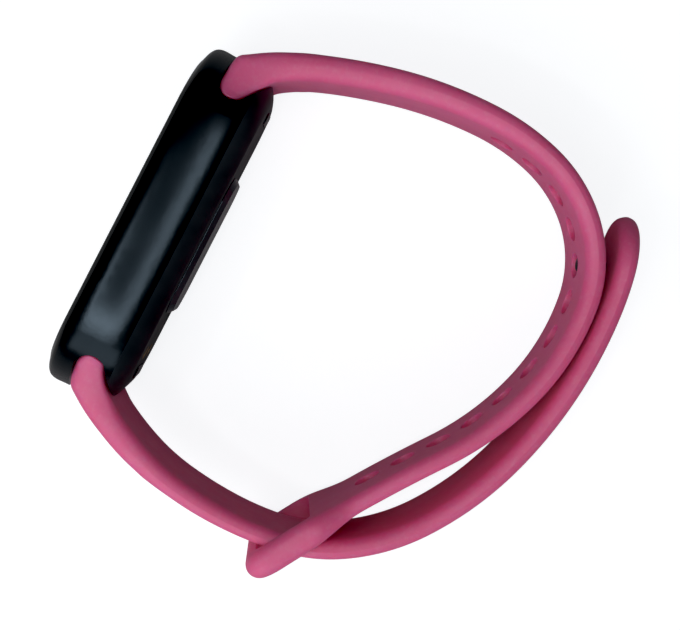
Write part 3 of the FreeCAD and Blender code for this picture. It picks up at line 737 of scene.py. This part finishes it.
def plain_plastic(name, colour, rough):
    """Plastic or rubber of an inner part, clouded between its colour and a paler one."""
    s = Shader(name)
    paler = tuple(min(1.0, c * 1.3 + 0.01) for c in colour)
    s.base(s.mix(s.spread(s.noise(300.0, 4.0), 0.35, 0.65), colour, paler))
    s.rough(s.spread(s.noise(500.0, 3.0), 0.3, 0.7, rough - 0.06, rough + 0.08))
    s.bump([(s.noise(1800.0, 2.0), 0.000005)])
    return s.material


def board_green():
    """Solder mask with the paler lines of copper under it."""
    s = Shader("board_solder_mask")
    lines = s.spread(s.cells(520.0, "DISTANCE_TO_EDGE"), 0.02, 0.05, 1.0, 0.0)
    s.base(s.mix(lines, (0.006, 0.045, 0.022), (0.02, 0.10, 0.045)))
    s.rough(s.spread(s.noise(400.0), 0.3, 0.7, 0.25, 0.36))
    s.bump([(lines, 0.00001)])
    return s.material


def dress_nodes():
    """Gives every carried-over node its material, by the slot it has in the record."""
    case = moulded("case_satin_black", CASE_BLACK, 0.215, 0.245, eased=True)
    rear = moulded("rear_matte_black", REAR_BLACK, 0.40, 0.50, 1500.0, 0.000009)
    glass = lens_black()
    window = moulded("sensor_window_black", WINDOW_BLACK, 0.08, 0.14, 2500.0, 0.000002)
    steel = metal("spring_steel", (0.46, 0.46, 0.47), 0.30)
    gold = metal("gold_plate", (0.34, 0.24, 0.11), 0.42)
    foil = metal("battery_foil", (0.52, 0.53, 0.55), 0.38)
    rubber = plain_plastic("black_rubber", (0.012, 0.012, 0.013), 0.62)
    flex = plain_plastic("polyimide_amber", (0.32, 0.12, 0.015), 0.35)
    chip = plain_plastic("chip_black", (0.012, 0.012, 0.014), 0.5)
    screen = plain_plastic("display_dark", (0.006, 0.006, 0.010), 0.16)
    inner = plain_plastic("bracket_black", (0.016, 0.016, 0.018), 0.55)
    green = plain_plastic("led_green", (0.05, 0.45, 0.12), 0.25)
    diode = plain_plastic("diode_dark", (0.02, 0.02, 0.04), 0.2)
    board = board_green()
    by_slot = {"glass_black": glass, "case_black": case, "rear_black": rear, "sensor_dark": window,
               "steel": steel, "lug_core": steel, "gold_contact": gold, "battery_foil": foil,
               "adhesive_black": rubber, "gasket_grey": rubber, "flex_amber": flex, "chip_black": chip,
               "display_dark": screen, "bracket_black": inner, "led_green": green, "diode_dark": diode,
               "board_green": board}
    for part in frame["record"]["subparts"]:
        node = frame["nodes"][part["node"]]
        material = by_slot.get(part["material_slot"])
        if material is None:
            continue
        node.data.materials.clear()
        node.data.materials.append(material)


# ---------------------------------------------------------------- stage, light and camera
def make_floor():
    """Plain pale paper just under the band."""
    level, reach = cad_low.z - FLOOR_GAP * MM, FLOOR_REACH * MM
    corners = [(-reach, -reach, level), (reach, -reach, level), (reach, reach, level), (-reach, reach, level)]
    sheet = bpy.data.meshes.new("studio_floor")
    sheet.from_pydata(corners, [], [(0, 1, 2, 3)])
    floor = bpy.data.objects.new("studio_floor", sheet)
    bpy.context.scene.collection.objects.link(floor)
    s = Shader("studio_floor_paper")
    s.base(s.mix(s.noise(300.0, 2.0), (0.34, 0.34, 0.345), (0.37, 0.37, 0.375)))
    s.constants(Roughness=0.9, Specular_IOR_Level=0.1)
    s.main.inputs["Emission Color"].default_value = (0.97, 0.985, 1, 1)
    seen = s.add("ShaderNodeLightPath").outputs["Is Camera Ray"]
    s.link(s.spread(seen, 0.0, 1.0, 0.0, FLOOR_GLOW), s.main.inputs["Emission Strength"])
    floor.data.materials.append(s.material)


def area_light(name, place, target, size, power):
    """Rectangular soft light; place, target and size in millimetres."""
    data = bpy.data.lights.new(name, "AREA")
    data.shape = "RECTANGLE"
    data.size, data.size_y = size[0] * MM, size[1] * MM
    data.energy = power
    light = bpy.data.objects.new(name, data)
    bpy.context.scene.collection.objects.link(light)
    light.location = Vector(place) * MM
    light.rotation_euler = (Vector(target) - Vector(place)).to_track_quat("-Z", "Y").to_euler()


def make_lights():
    """A dim world, brightest low down on the -Y side, a large key light and the strips that
    draw the long U-shaped shine on the case's side wall."""
    world = bpy.data.worlds.new("studio")
    world.use_nodes = True
    tree = world.node_tree
    background = tree.nodes["Background"]
    split = tree.nodes.new("ShaderNodeSeparateXYZ")
    tree.links.new(tree.nodes.new("ShaderNodeTexCoord").outputs["Generated"], split.inputs[0])
    strength = None
    glossy = tree.nodes.new("ShaderNodeLightPath").outputs["Is Glossy Ray"]
    # each ramp: its input, the input's range, and the factor of the brightness at either end of it
    for source, low, high, at_low, at_high in ((split.outputs["Z"], 0.60, 0.85, 0.50, 0.17),
                                               (split.outputs["Y"], -0.7, 0.7, 1.50, 0.24),
                                               (glossy, 0.0, 1.0, 1.0, 0.12)):
        ramp = tree.nodes.new("ShaderNodeMapRange")
        for key, value in (("From Min", low), ("From Max", high), ("To Min", at_low), ("To Max", at_high)):
            ramp.inputs[key].default_value = value
        tree.links.new(source, ramp.inputs["Value"])
        if strength is None:
            strength = ramp.outputs["Result"]
            continue
        product = tree.nodes.new("ShaderNodeMath")
        product.operation = "MULTIPLY"
        tree.links.new(strength, product.inputs[0])
        tree.links.new(ramp.outputs["Result"], product.inputs[1])
        strength = product.outputs[0]
    tree.links.new(strength, background.inputs["Strength"])
    background.inputs["Color"].default_value = SKY
    bpy.context.scene.world = world
    area_light("key", (20, -430, 400), (15, -5, 0), (420, 420), 0.76)
    for name, (x, y), size, power in STRIPS:
        area_light(name, (x, y, STRIP_HEIGHT), (x, y, 0), size, power)


def make_camera():
    """Looks straight down on the band, with the long side of the case leaning to the right."""
    data = bpy.data.cameras.new("camera")
    data.sensor_width = 36.0
    data.lens = 77.35
    data.shift_x = 0.0735
    data.shift_y = -0.1162
    data.clip_start = 0.01
    data.clip_end = 20.0
    camera = bpy.data.objects.new("camera", data)
    bpy.context.scene.collection.objects.link(camera)
    camera.rotation_euler = (0.0, 0.0, math.atan2(CAMERA_RIGHT[1], CAMERA_RIGHT[0]))
    camera.location = Vector(CAMERA_PLACE) * MM
    bpy.context.scene.camera = camera


def main():
    """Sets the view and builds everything."""
    view = bpy.context.scene.view_settings
    view.view_transform = "Standard"
    view.use_curve_mapping = True
    view.curve_mapping.black_level = (BLACK_LEVEL, BLACK_LEVEL, BLACK_LEVEL)
    view.curve_mapping.update()
    make_camera()
    make_lights()
    make_floor()
    dress_nodes()
    make_hole_strap()
    make_peg(make_peg_strap())


main()
